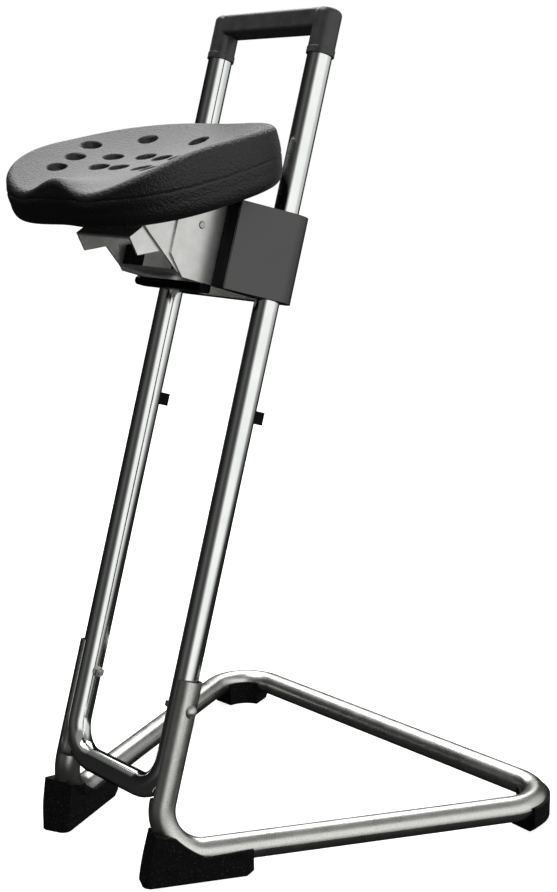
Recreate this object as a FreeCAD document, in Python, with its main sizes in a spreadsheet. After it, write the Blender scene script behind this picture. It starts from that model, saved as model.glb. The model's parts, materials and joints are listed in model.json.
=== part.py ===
"""Perch stool: leaning twin uprights on a bent tube base, with a sliding carriage and a tilting foam seat.

World frame: +Z up, floor at Z = 0, X = 0 is the mirror plane, the sitter faces -Y, and the origin is the
middle of the footprint. The lean frame starts where the upright axes meet the floor and is turned about X
by their lean: the uprights run along its Z (called the station), its Y is square to them, and it shares X.
"""
import FreeCAD, Part
import math
import os
import Sketcher
from FreeCAD import Placement, Rotation, Vector

SIZES = [
    ("lean", 16.36, "backward lean of the uprights, degrees"),
    ("origin_back", 222.0, "distance of the world origin behind the foot of the uprights' axes"),
    ("upright_od", 28.0, "outer diameter of the uprights"),
    ("upright_wall", 1.5, "wall of the uprights"),
    ("upright_half", 85.0, "half the spacing of the upright axes"),
    ("cross_station", 98.0, "station of the cross tube axis that joins the uprights"),
    ("cross_bend", 42.0, "bend radius of the two lower corners of the uprights"),
    ("upright_top", 965.0, "station of the upright tube ends"),
    ("base_od", 30.0, "outer diameter of the base tube"),
    ("base_wall", 2.0, "wall of the base tube"),
    ("base_height", 28.0, "height of the base tube axis above the floor"),
    ("base_depth", 460.0, "distance of the rear tube axis behind the front corners"),
    ("rear_half", 306.0, "half the width of the base loop at its rear corners, on the axis"),
    ("front_bend", 48.0, "bend radius where the base tube turns up into the saddle arms"),
    ("rear_bend", 50.0, "bend radius of the rear corners of the base loop"),
    ("saddle_top", 228.0, "station of the upper ends of the saddle arms"),
    ("slot_start", 92.0, "station where the saddle slot starts"),
    ("saddle_gap", 0.05, "clearance of the upright in the saddle"),
    ("bolt_station", 196.0, "station of the through bolts"),
    ("bolt_d", 6.0, "bolt shank diameter"),
    ("dome_d", 15.0, "bolt head diameter"),
    ("dome_height", 4.5, "bolt head height"),
    ("nut_flats", 10.0, "nut size across flats"),
    ("nut_height", 5.0, "nut height"),
    ("washer_d", 12.5, "washer diameter"),
    ("washer_thick", 1.2, "washer thickness"),
    ("bolt_tip", 2.0, "reach of the bolt shank beyond the nut"),
    ("shoe_wall", 3.2, "rubber wall of the front shoes round the tube"),
    ("shoe_gap", 0.2, "clearance between rubber and base tube"),
    ("shoe_length", 112.0, "length of the front shoes behind the front corner"),
    ("shoe_front", 12.0, "reach of the front shoes ahead of the front corner"),
    ("shoe_top", 66.0, "height to which the sides of the front shoes are drawn"),
    ("shoe_brow", 4.0, "distance of the shoes' front face behind the front corner, at their top"),
    ("shoe_collar", 58.0, "station of the plane, square to the arm, that ends the front shoes"),
    ("shoe_waist", 60.0, "distance behind the front corner where the shoes' hollow back ends"),
    ("shoe_low", 27.0, "height of the front shoes where their hollow back ends"),
    ("shoe_hollow", 4.0, "depth of the shoes' hollow back"),
    ("shoe_heel", 8.0, "length of the bevel under the rear end of the front shoes"),
    ("shoe_heel_rise", 6.0, "height of that bevel"),
    ("shoe_tail", 30.0, "height of the front shoes at their rear end"),
    ("pad_sweep", 72.0, "angle that each rear pad covers round its bend, degrees"),
    ("pad_bevel", 7.0, "bevel along the outer lower edge of the rear pads"),
    ("pad_height", 31.0, "height of the rear pads"),
    ("stop_station", 523.7, "station of the middle of the lower stops"),
    ("stop_height", 14.5, "height of the lower stops"),
    ("stop_width", 10.0, "width of the lower stops"),
    ("stop_reach", 13.4, "reach of the lower stops behind the uprights"),
    ("stop_stem", 7.0, "diameter of the stop stem in the tube wall"),
    ("collar_bottom", "=upright_top - collar_length", "station of the lower rim of the handle collars"),
    ("collar_length", 40.0, "length of the handle collars below the tube ends"),
    ("collar_wall", 1.1, "wall of the handle collars"),
    ("handle_top", "=upright_top + handle_rise", "station of the top of the handle"),
    ("handle_rise", 12.0, "height of the handle above the tube ends"),
    ("bar_height", 24.5, "height of the handle bar"),
    ("bar_front", 13.0, "reach of the handle bar ahead of the upright axes"),
    ("bar_rear", 14.5, "reach of the handle bar behind the upright axes"),
    ("bar_round", 5.0, "rounding of the handle bar's long edges"),
    ("crown_round", 7.0, "rounding of the collars' tops"),
    ("rim_height", 7.0, "height of the lower rim of the collars"),
    ("rim_proud", 0.7, "how far the collar rim stands proud"),
    ("sleeve_bottom", 651.5, "station of the lower edge of the carriage sleeve"),
    ("sleeve_height", 97.0, "height of the carriage sleeve"),
    ("sleeve_front", 58.0, "distance of the sleeve's front edges ahead of the upright axes"),
    ("sleeve_rear", 26.5, "distance of the sleeve's rear wall behind the upright axes"),
    ("front_half", 78.0, "half width of the sleeve at its front edges"),
    ("flare", 25.8, "angle by which the sleeve wings open to the rear, degrees"),
    ("sleeve_round", 21.0, "outer radius of the sleeve's rear corners"),
    ("sleeve_wall", 2.0, "sheet thickness of the sleeve"),
    ("slide_fit", 0.05, "radial clearance of the guide bores on the uprights"),
    ("block_gap", 0.3, "clearance between the guide blocks and the sleeve"),
    ("block_inner", 56.0, "distance of the inner faces of the guide blocks from the middle"),
    ("block_skin", 4.0, "wall of the guide block moulding"),
    ("block_deck", 12.0, "thickness of the upper and lower decks of the guide blocks"),
    ("boss_wall", 4.5, "wall of the bore boss in the guide blocks"),
    ("bracket_half", 54.0, "half width of the outer carriage bracket"),
    ("bracket_sheet", 2.5, "sheet thickness of the brackets"),
    ("bracket_front", 119.0, "reach of the outer bracket ahead of the upright axes"),
    ("bracket_bottom", 653.0, "station of the lower edge of the outer bracket"),
    ("bracket_top", 744.0, "station of the upper edge of the outer bracket"),
    ("support_tip", 158.0, "reach of the support bracket ahead of the upright axes"),
    ("support_foot", 104.0, "distance of the support bracket's lower corner ahead of the axes"),
    ("support_bottom", 657.0, "station of the lower web of the support bracket"),
    ("support_tail", 40.0, "distance of the support bracket's rear edge ahead of the axes"),
    ("pin_station", 712.7, "station of the tilt pin"),
    ("pin_front", 86.3, "distance of the tilt pin ahead of the upright axes"),
    ("pin_d", 8.0, "tilt pin diameter"),
    ("pin_fit", 0.05, "radial clearance of the seat bracket on the tilt pin"),
    ("side_play", 0.5, "side clearance of the seat bracket between the support plates"),
    ("bracket_bevel", 21.0, "bevel of the outer bracket's lower front corner"),
    ("bracket_shoulder", 16.0, "distance of the brackets' upper shoulder ahead of the sleeve's front edges"),
    ("bracket_clear", 5.0, "gap between the outer bracket and the seat plate"),
    ("support_clear", 7.5, "gap between the support bracket and the seat plate"),
    ("nose_reach", 172.0, "reach of the seat bracket's nose ahead of the upright axes"),
    ("nose_drop", 50.5, "drop of the nose's lower edge below the tilt pin"),
    ("nose_foot", 15.0, "distance of the nose's lower edge behind its tip"),
    ("nose_head", 13.0, "distance of the nose's upper edge behind its tip"),
    ("nose_low", 16.0, "height of the nose's lower facet"),
    ("nose_high", 30.0, "height of both facets of the nose"),
    ("nose_tail", 22.0, "reach of the seat bracket's sides behind the tilt pin"),
    ("nose_slope", 0.42, "rise of the seat bracket's lower edge to the rear"),
    ("buffer_width", 10.0, "width of the rubber tilt buffers"),
    ("buffer_length", 20.0, "length of the rubber tilt buffers"),
    ("buffer_gap", 3.2, "gap between a buffer and the seat bracket at rest"),
    ("lip_front", 75.0, "reach of the lower cover bar ahead of the upright axes"),
    ("lip_rear", 60.0, "distance of the cover bar's rear edge ahead of the upright axes"),
    ("lip_height", 9.5, "height of the lower cover bar"),
    ("lip_half", 58.0, "half length of the lower cover bar"),
    ("seat_y", 92.0, "distance of the seat's middle behind the foot of the uprights' axes"),
    ("seat_z", 734.5, "height of the seat's underside at its middle"),
    ("seat_slope", 12.0, "forward slope of the seat's underside, degrees"),
    ("seat_half", 145.5, "half width of the cushion at its middle"),
    ("seat_deep", 128.0, "half depth of the cushion"),
    ("seat_taper", 0.085, "share by which the cushion widens to the front and narrows to the rear"),
    ("seat_corner", 2.8, "exponent of the cushion's rounded-rectangle outline"),
    ("seat_thick", 39.0, "thickness of the cushion in the middle of its dish"),
    ("side_rise", 27.5, "rise of the dish to its sides"),
    ("rear_rise", 18.5, "rise of the dish to its rear"),
    ("front_fall", 9.0, "fall of the dish to its front"),
    ("pommel_rise", 21.5, "rise of the pommel at the front edge"),
    ("pommel_half", 35.0, "half width of the pommel"),
    ("pommel_notch", 6.0, "depth of the hollow in the front wall under the pommel"),
    ("pommel_deep", 42.0, "length of the pommel to the rear"),
    ("draw_in", 9.0, "how far the cushion's underside is drawn in"),
    ("draw_height", 6.0, "height of the lower rounding of the cushion"),
    ("wall_height", 18.0, "height above which the cushion's walls are upright"),
    ("rim_round", 9.0, "rounding of the cushion's upper rim"),
    ("vent_d", 19.0, "diameter of the vent recesses"),
    ("vent_deep", 9.0, "depth of the vent recesses"),
    ("plate_half", 92.0, "half width of the seat plate"),
    ("plate_deep", 70.0, "half depth of the seat plate"),
    ("plate_thick", 6.0, "thickness of the seat plate"),
    ("plate_round", 20.0, "corner radius of the seat plate"),
    ("plate_gap", 0.3, "clearance between the seat plate and the cushion"),
    ("screw_d", 6.0, "shank diameter of the seat screws"),
    ("screw_head", 11.0, "head diameter of the seat screws"),
    ("screw_x", 34.0, "distance of the seat screws from the middle"),
    ("screw_fore", 48.0, "distance of the front seat screws ahead of the tilt pin"),
    ("screw_aft", 6.0, "distance of the rear seat screws ahead of the tilt pin"),
]

# Vent recesses of the right half of the seat: distance from the middle, distance ahead of the rear rim.
VENT_ROWS = [
    [(22.0, 47.0), (79.0, 70.0), (112.0, 118.0)],
    [(0.0, 102.0), (30.0, 105.0), (65.0, 123.0), (97.0, 152.0)],
    [(22.0, 147.0), (50.0, 156.0), (88.0, 184.0)],
]

doc = FreeCAD.newDocument("perch_stool")
sheet = doc.addObject("Spreadsheet::Sheet", "Sizes")
for row, (alias, amount, meaning) in enumerate(SIZES, 1):
    sheet.set("A%d" % row, meaning)
    sheet.set("B%d" % row, str(amount))
    sheet.setAlias("B%d" % row, alias)
doc.recompute()


def number(expression):
    """Value of an expression in the sheet's aliases."""
    return float(sheet.evalExpression(expression))


def size(alias):
    """Value of one sheet cell."""
    return float(sheet.get(alias))


LEAN = math.radians(size("lean"))
LEAN_FRAME = Placement(Vector(0, -size("origin_back"), 0), Rotation(Vector(1, 0, 0), -size("lean")))
SEAT_FRAME = Placement(
    Vector(0, size("seat_y") - size("origin_back"), size("seat_z")),
    Rotation(Vector(1, 0, 0), size("seat_slope")),
)
SEAT_IN_LEAN = LEAN_FRAME.inverse().multiply(SEAT_FRAME)
parts = []


def keep(obj, label):
    """Give a sub-part its label and put it on the list of written pieces."""
    obj.Label = label
    parts.append(obj)
    return obj


def new_body(label, frame=LEAN_FRAME):
    """An empty body of its own, placed in the lean frame unless told otherwise."""
    body = keep(doc.addObject("PartDesign::Body", label), label)
    body.Placement = frame
    if frame is LEAN_FRAME:
        body.setExpression("Placement.Rotation.Angle", "-Sizes.lean * 1deg")
    return body


def feature(label, shape, frame=None):
    """A sub-part whose shape comes from a sweep, a loft or a boolean."""
    obj = keep(doc.addObject("Part::Feature", label), label)
    obj.Shape = shape
    if frame is not None:
        obj.Placement = frame
    return obj


def mirrored(source, label):
    """The same sub-part on the other side of the mirror plane."""
    copy = keep(doc.addObject("Part::Mirroring", label), label)
    copy.Source = source
    copy.Base = Vector(0, 0, 0)
    copy.Normal = Vector(1, 0, 0)
    return copy


def sketch_on(body, plane, offset="0"):
    """A sketch on one of the body's origin planes, moved along its normal."""
    sketch = body.newObject("Sketcher::SketchObject", "Sketch")
    origin = [item for item in body.Origin.OriginFeatures if item.Role == plane][0]
    sketch.AttachmentSupport = [(origin, "")]
    sketch.MapMode = "FlatFace"
    sketch.setExpression("AttachmentOffset.Base.z", offset)
    return sketch


def bind(sketch, constraint, expression):
    """Add a constraint whose value follows an expression."""
    index = sketch.addConstraint(constraint)
    sketch.setExpression("Constraints[%d]" % index, expression)


def outline(sketch, corners):
    """A closed outline of straight edges; each corner is a pair of expressions."""
    first = sketch.GeometryCount
    points = [Vector(number(across), number(up), 0) for across, up in corners]
    count = len(points)
    for index in range(count):
        sketch.addGeometry(Part.LineSegment(points[index], points[(index + 1) % count]), False)
    for index in range(count):
        following = first + (index + 1) % count
        sketch.addConstraint(Sketcher.Constraint("Coincident", first + index, 2, following, 1))
    for index, (across, up) in enumerate(corners):
        edge = first + index
        bind(sketch, Sketcher.Constraint("DistanceX", -1, 1, edge, 1, points[index].x), across)
        bind(sketch, Sketcher.Constraint("DistanceY", -1, 1, edge, 1, points[index].y), up)


def circle(sketch, across, up, radius):
    """A circle whose centre and radius follow expressions."""
    centre = Vector(number(across), number(up), 0)
    index = sketch.addGeometry(Part.Circle(centre, Vector(0, 0, 1), number(radius)), False)
    bind(sketch, Sketcher.Constraint("DistanceX", -1, 1, index, 3, centre.x), across)
    bind(sketch, Sketcher.Constraint("DistanceY", -1, 1, index, 3, centre.y), up)
    bind(sketch, Sketcher.Constraint("Radius", index, number(radius)), radius)


def pad(body, sketch, length, both_ways=False):
    """Extrude a sketch along its normal, or half each way."""
    item = body.newObject("PartDesign::Pad", "Pad")
    item.Profile = sketch
    item.setExpression("Length", length)
    item.Midplane = both_ways
    doc.recompute()
    return item


def pocket(body, sketch, length, both_ways=False):
    """Cut a sketch out of the body along its normal, or half each way."""
    item = body.newObject("PartDesign::Pocket", "Pocket")
    item.Profile = sketch
    item.setExpression("Length", length)
    item.Midplane = both_ways
    item.Reversed = not both_ways
    doc.recompute()
    return item


def edge_names(shape, wanted):
    """Names of the edges that pass a test on their curve's ends."""
    names = []
    for index, edge in enumerate(shape.Edges, 1):
        if len(edge.Vertexes) == 2 and wanted(edge.Vertexes[0].Point, edge.Vertexes[1].Point):
            names.append("Edge%d" % index)
    return names


def round_edges(body, wanted, radius):
    """Fillet the edges of the body's tip that pass a test."""
    base = body.Tip
    item = body.newObject("PartDesign::Fillet", "Fillet")
    item.Base = (base, edge_names(base.Shape, wanted))
    item.setExpression("Radius", radius)
    doc.recompute()
    return item


def upright_edge(corner_y, low_x=0.0):
    """Test for edges along Z that stand at a given Y, at or beyond a distance from X = 0."""
    def test(start, end):
        along = abs(start.x - end.x) < 1e-6 and abs(start.y - end.y) < 1e-6
        return along and abs(start.y - corner_y) < 1e-4 and abs(start.x) >= low_x
    return test


def cross_edge(wanted_y, wanted_z):
    """Test for edges along X through a given Y and Z."""
    def test(start, end):
        along = abs(start.y - end.y) < 1e-6 and abs(start.z - end.z) < 1e-6
        return along and abs(start.y - wanted_y) < 1e-4 and abs(start.z - wanted_z) < 1e-4
    return test


def open_shell(body, thickness, opened):
    """Hollow the body's tip inward and leave out the faces whose outward normals pass a test."""
    base = body.Tip
    names = []
    for index, face in enumerate(base.Shape.Faces, 1):
        low_u, high_u, low_v, high_v = face.ParameterRange
        if opened(face.normalAt((low_u + high_u) / 2, (low_v + high_v) / 2), face.CenterOfMass):
            names.append("Face%d" % index)
    item = body.newObject("PartDesign::Thickness", "Sheet")
    item.Base = (base, names)
    item.setExpression("Value", thickness)
    item.Reversed = True
    item.Mode = 0
    item.Join = 1
    doc.recompute()
    return item


def rounded_path(points, radii):
    """A wire through points whose inner corners are tangent arcs; radii has one value per inner corner."""
    edges = []
    start = points[0]
    for index, radius in enumerate(radii, 1):
        corner = points[index]
        back = (points[index - 1] - corner).normalize()
        ahead = (points[index + 1] - corner).normalize()
        half_angle = back.getAngle(ahead) / 2
        reach = radius / math.tan(half_angle)
        centre = corner + (back + ahead).normalize() * (radius / math.sin(half_angle))
        arc_start = corner + back * reach
        arc_end = corner + ahead * reach
        middle = centre + (corner - centre).normalize() * radius
        edges.append(Part.LineSegment(start, arc_start).toShape())
        edges.append(Part.Arc(arc_start, middle, arc_end).toShape())
        start = arc_end
    edges.append(Part.LineSegment(start, points[-1]).toShape())
    return Part.Wire(edges)


def rod_along(path, radius):
    """A round solid rod along a wire of lines and arcs, from cylinders and ring sections."""
    pieces = []
    for edge in path.Edges:
        start = edge.valueAt(edge.FirstParameter)
        tangent = edge.tangentAt(edge.FirstParameter)
        disc = Part.Face(Part.Wire([Part.Circle(start, tangent, radius).toShape()]))
        if isinstance(edge.Curve, Part.Line):
            pieces.append(disc.extrude(tangent * edge.Length))
        else:
            centre = edge.Curve.Center
            turn = math.degrees(edge.Length / edge.Curve.Radius)
            pieces.append(disc.revolve(centre, (start - centre).cross(tangent), turn))
    return pieces[0].multiFuse(pieces[1:]).removeSplitter()


def lean_point(across, square, station):
    """World place of a point given in the lean frame."""
    return LEAN_FRAME.multVec(Vector(across, square, station))


# Base loop: one bent tube, its front ends turned up and slit open into half-round saddles
upright_r = size("upright_od") / 2
base_r = size("base_od") / 2
base_bore_r = base_r - size("base_wall")
# The upright seats on the inner edges of the slit tube, so the arm axis lies outboard of its axis.
arm_offset = math.sqrt((upright_r + size("saddle_gap")) ** 2 - base_bore_r ** 2)
arm_half = size("upright_half") + arm_offset
corner_station = size("base_height") / math.cos(LEAN)
front_corner = lean_point(arm_half, 0, corner_station)
front_corner_y = front_corner.y
rear_corner = Vector(size("rear_half"), front_corner_y + size("base_depth"), size("base_height"))
arm_top = lean_point(arm_half, 0, size("saddle_top"))
side_direction = (rear_corner - front_corner).normalize()


def flipped(point):
    """Mirror image of a point."""
    return Vector(-point.x, point.y, point.z)


base_path = rounded_path(
    [arm_top, front_corner, rear_corner, flipped(rear_corner), flipped(front_corner), flipped(arm_top)],
    [size("front_bend"), size("rear_bend"), size("rear_bend"), size("front_bend")],
)


def bolt_hole(radius):
    """A round bar through both uprights and both saddles at the bolt station."""
    half = arm_half + base_r * 2
    bar = Part.makeCylinder(radius, 2 * half, Vector(-half, 0, size("bolt_station")), Vector(1, 0, 0))
    bar.Placement = LEAN_FRAME.multiply(bar.Placement)
    return bar


def make_base_loop():
    """The base tube with its saddle slots and bolt holes."""
    tube = rod_along(base_path, base_r).cut(rod_along(base_path, base_bore_r))
    slot_height = size("saddle_top") - size("slot_start") + base_r
    slot_width = base_r * 4
    slot = Part.makeBox(2 * arm_half, slot_width, slot_height,
                        Vector(-arm_half, -slot_width / 2, size("slot_start")))
    slot.Placement = LEAN_FRAME.multiply(slot.Placement)
    shape = tube.cut(slot).cut(bolt_hole(size("bolt_d") / 2 + 0.1))
    return feature("base_loop", shape)


make_base_loop()


# Uprights: one tube bent into a U, joined by the low cross tube, closed by the handle above
def make_upright_frame():
    """The two uprights and the cross tube between their lower ends."""
    half = size("upright_half")
    path = rounded_path(
        [
            Vector(-half, 0, size("upright_top")),
            Vector(-half, 0, size("cross_station")),
            Vector(half, 0, size("cross_station")),
            Vector(half, 0, size("upright_top")),
        ],
        [size("cross_bend"), size("cross_bend")],
    )
    tube = rod_along(path, upright_r).cut(rod_along(path, upright_r - size("upright_wall")))
    stem_r = size("stop_stem") / 2
    for side in (-half, half):
        tube = tube.cut(Part.makeCylinder(stem_r, upright_r * 2, Vector(side, 0, size("stop_station")),
                                          Vector(0, 1, 0)))
    tube.Placement = LEAN_FRAME
    return feature("upright_frame", Part.Shape(tube.cut(bolt_hole(size("bolt_d") / 2 + 0.1))))


make_upright_frame()


# Bolts, washers and nuts that hold the uprights in the saddles
outer_wall_x = arm_half + base_r
inner_wall_x = size("upright_half") - upright_r
nut_start_x = inner_wall_x - size("washer_thick")
bolt_end_x = nut_start_x - size("nut_height") - size("bolt_tip")


def along_x(shape):
    """Turn a shape made along Z so that it runs along X, at the bolt station."""
    shape.Placement = LEAN_FRAME.multiply(
        Placement(Vector(0, 0, size("bolt_station")), Rotation(Vector(0, 1, 0), 90)))
    return shape


def both_sides(shape):
    """A compound of a piece and its mirror image."""
    return Part.makeCompound([shape, shape.mirror(Vector(0, 0, 0), Vector(1, 0, 0))])


def make_fasteners():
    """Domed bolts from outside, washers and hexagon nuts inside."""
    shank_r = size("bolt_d") / 2
    head_r = size("dome_d") / 2
    rise = size("dome_height")
    ball_r = (head_r ** 2 + rise ** 2) / (2 * rise)
    ball = Part.makeSphere(ball_r, Vector(0, 0, outer_wall_x + rise - ball_r))
    head = ball.common(Part.makeCylinder(head_r, rise, Vector(0, 0, outer_wall_x)))
    shank = Part.makeCylinder(shank_r, outer_wall_x - bolt_end_x, Vector(0, 0, bolt_end_x))
    feature("saddle_bolts", both_sides(along_x(head.fuse(shank))))
    washer = Part.makeCylinder(size("washer_d") / 2, size("washer_thick"), Vector(0, 0, nut_start_x))
    washer = washer.cut(Part.makeCylinder(shank_r, size("washer_thick"), Vector(0, 0, nut_start_x)))
    feature("saddle_washers", both_sides(along_x(washer)))
    corner_r = size("nut_flats") / math.sqrt(3)
    bottom = nut_start_x - size("nut_height")
    corners = [
        Vector(corner_r * math.cos(math.radians(60 * turn)), corner_r * math.sin(math.radians(60 * turn)), bottom)
        for turn in range(7)
    ]
    nut = Part.Face(Part.makePolygon(corners)).extrude(Vector(0, 0, size("nut_height")))
    nut = nut.cut(Part.makeCylinder(shank_r, size("nut_height"), Vector(0, 0, bottom)))
    feature("saddle_nuts", both_sides(along_x(nut)))


make_fasteners()


# Front shoes: rubber boots round the front bends with a wedge outline and a flat sole
def make_front_shoe():
    """Right front shoe: a slab and the swept boot, cut to a wedge outline that falls from the arm."""
    outer_r = base_r + size("shoe_wall")
    boot = rod_along(base_path, outer_r)
    sole_front = size("shoe_front")
    length = size("shoe_length")
    block = Part.makeBox(sole_front + length, 2 * outer_r, size("shoe_top"), Vector(-sole_front, -outer_r, 0))
    nose_r = outer_r * 0.55
    block = block.makeFillet(nose_r, [edge for edge in block.Edges if edge.BoundBox.ZLength > 1
                                      and edge.CenterOfMass.x < 0])
    back_start = Vector(size("shoe_waist"), 0, size("shoe_low"))
    back_end = Vector(base_r, 0, size("shoe_top"))
    chord = back_end - back_start
    dip = Vector(chord.z, 0, -chord.x).normalize() * -size("shoe_hollow")
    corners = [
        back_end,
        Vector(size("shoe_brow"), 0, size("shoe_top")),
        Vector(-sole_front, 0, 0),
        Vector(length - size("shoe_heel"), 0, 0),
        Vector(length, 0, size("shoe_heel_rise")),
        Vector(length, 0, size("shoe_tail")),
        back_start,
    ]
    face_edges = [Part.LineSegment(start, end).toShape() for start, end in zip(corners, corners[1:])]
    face_edges.append(Part.Arc(back_start, back_start + chord / 2 + dip, back_end).toShape())
    profile = Part.Face(Part.Wire(face_edges))
    reach = 2 * outer_r
    wedge = profile.extrude(Vector(0, 2 * reach, 0))
    wedge.translate(Vector(0, -reach, 0))
    heading = math.degrees(math.atan2(side_direction.y, side_direction.x))
    frame = Placement(Vector(front_corner.x, front_corner.y, 0), Rotation(Vector(0, 0, 1), heading))
    block.Placement = frame
    wedge.Placement = frame.multiply(wedge.Placement)
    above = Part.makeBox(4 * reach, 4 * reach, reach, Vector(arm_half - 2 * reach, -2 * reach, size("shoe_collar")))
    above.Placement = LEAN_FRAME
    shape = boot.fuse(block).common(wedge).cut(above)
    shape = shape.cut(rod_along(base_path, base_r + size("shoe_gap")))
    solid = max(shape.Solids, key=lambda item: item.Volume)
    return feature("front_shoe_right", solid)


mirrored(make_front_shoe(), "front_shoe_left")


# Rear pads: rubber cups under the two rear bends
rear_half_angle = (front_corner - rear_corner).getAngle(Vector(-1, 0, 0)) / 2
rear_bisector = ((front_corner - rear_corner).normalize() + Vector(-1, 0, 0)).normalize()
rear_bend_centre = rear_corner + rear_bisector * (size("rear_bend") / math.sin(rear_half_angle))


def make_rear_pad():
    """Right rear pad: a cup section turned about the bend's centre."""
    body = new_body("rear_pad_right", Placement())
    body.Placement = Placement(
        Vector(rear_bend_centre.x, rear_bend_centre.y, 0),
        Rotation(Vector(0, 0, 1), math.degrees(math.atan2(-rear_bisector.y, -rear_bisector.x))),
    )
    sketch = sketch_on(body, "XZ_Plane")
    wide = "(Sizes.base_od / 2 + Sizes.shoe_wall)"
    outline(sketch, [
        ("Sizes.rear_bend - %s" % wide, "0"),
        ("Sizes.rear_bend + %s - Sizes.pad_bevel" % wide, "0"),
        ("Sizes.rear_bend + %s" % wide, "Sizes.pad_bevel"),
        ("Sizes.rear_bend + %s" % wide, "Sizes.pad_height"),
        ("Sizes.rear_bend - %s" % wide, "Sizes.pad_height"),
    ])
    turn = body.newObject("PartDesign::Revolution", "Revolution")
    turn.Profile = sketch
    turn.ReferenceAxis = (sketch, ["V_Axis"])
    turn.setExpression("Angle", "Sizes.pad_sweep * 1deg")
    turn.Midplane = True
    doc.recompute()
    bore = sketch_on(body, "XZ_Plane")
    circle(bore, "Sizes.rear_bend", "Sizes.base_height", "Sizes.base_od / 2 + Sizes.shoe_gap")
    groove = body.newObject("PartDesign::Groove", "Groove")
    groove.Profile = bore
    groove.ReferenceAxis = (bore, ["V_Axis"])
    groove.Angle = 360
    doc.recompute()
    return body


mirrored(make_rear_pad(), "rear_pad_left")


# Lower stops: square-headed plugs in the rear of the uprights
def make_stop():
    """Right stop plug, seated on the tube and held by its stem in the wall."""
    half = size("upright_half")
    head = Part.makeBox(
        size("stop_width"), upright_r + size("stop_reach"), size("stop_height"),
        Vector(half - size("stop_width") / 2, 0, size("stop_station") - size("stop_height") / 2))
    end_edges = [edge for edge in head.Edges if abs(edge.CenterOfMass.y - upright_r - size("stop_reach")) < 1e-6]
    head = head.makeFillet(1.2, end_edges)
    tube = Part.makeCylinder(upright_r, 2 * size("stop_height"),
                             Vector(half, 0, size("stop_station") - size("stop_height")))
    stem = Part.makeCylinder(size("stop_stem") / 2, upright_r + 2, Vector(half, 0, size("stop_station")),
                             Vector(0, 1, 0))
    bore = Part.makeCylinder(upright_r - size("upright_wall") - 2.5, 2 * size("stop_height"),
                             Vector(half, 0, size("stop_station") - size("stop_height")))
    return feature("height_stop_right", head.cut(tube).fuse(stem.cut(bore)), LEAN_FRAME)


mirrored(make_stop(), "height_stop_left")


# Handle: a grip bar moulded in one with the two collars over the upright ends
def make_handle():
    """The carrying handle in the lean frame."""
    half = size("upright_half")
    collar_r = upright_r + size("collar_wall")
    bottom = size("collar_bottom")
    top = size("handle_top")
    bar_bottom = top - size("bar_height")
    depth = size("bar_front") + size("bar_rear")
    bar = Part.makeBox(2 * half, depth, size("bar_height"), Vector(-half, -size("bar_front"), bar_bottom))
    bar = bar.makeFillet(size("bar_round"), [edge for edge in bar.Edges if edge.BoundBox.XLength > half])
    shape = bar
    for side in (-half, half):
        collar = Part.makeCylinder(collar_r, top - bottom, Vector(side, 0, bottom))
        crown = [edge for edge in collar.Edges if abs(edge.CenterOfMass.z - top) < 1e-6]
        collar = collar.makeFillet(size("crown_round"), crown)
        rim = Part.makeCylinder(collar_r + size("rim_proud"), size("rim_height"), Vector(side, 0, bottom))
        shape = shape.fuse(collar).fuse(rim)
    for side in (-half, half):
        shape = shape.cut(Part.makeCylinder(upright_r, size("upright_top") - bottom, Vector(side, 0, bottom)))
    return feature("carry_handle", shape.removeSplitter(), LEAN_FRAME)


make_handle()

# Carriage sleeve: grey sheet folded round both uprights, open to the front, wings opening to the rear
WING_GROWTH = "(Sizes.sleeve_front + Sizes.sleeve_rear) * tan(Sizes.flare * 1deg)"


def make_sleeve():
    """The folded sleeve."""
    body = new_body("carriage_sleeve")
    sketch = sketch_on(body, "XY_Plane", "Sizes.sleeve_bottom")
    rear_half = "Sizes.front_half + " + WING_GROWTH
    outline(sketch, [
        ("-Sizes.front_half", "-Sizes.sleeve_front"),
        ("Sizes.front_half", "-Sizes.sleeve_front"),
        (rear_half, "Sizes.sleeve_rear"),
        ("-(%s)" % rear_half, "Sizes.sleeve_rear"),
    ])
    pad(body, sketch, "Sizes.sleeve_height")
    round_edges(body, upright_edge(size("sleeve_rear")), "Sizes.sleeve_round")
    open_shell(body, "Sizes.sleeve_wall",
               lambda normal, centre: abs(normal.z) > 0.9 or normal.y < -0.99)
    return body


make_sleeve()


# Guide blocks: plastic mouldings between sleeve and uprights, hollow beside their bore bosses
def wing_inside(station, inset):
    """Expression for the sleeve's inner half width at a distance behind its front edges, less an inset."""
    return ("Sizes.front_half + (%s) * tan(Sizes.flare * 1deg) - (Sizes.sleeve_wall + Sizes.block_gap + %s)"
            " / cos(Sizes.flare * 1deg)" % (station, inset))


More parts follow.
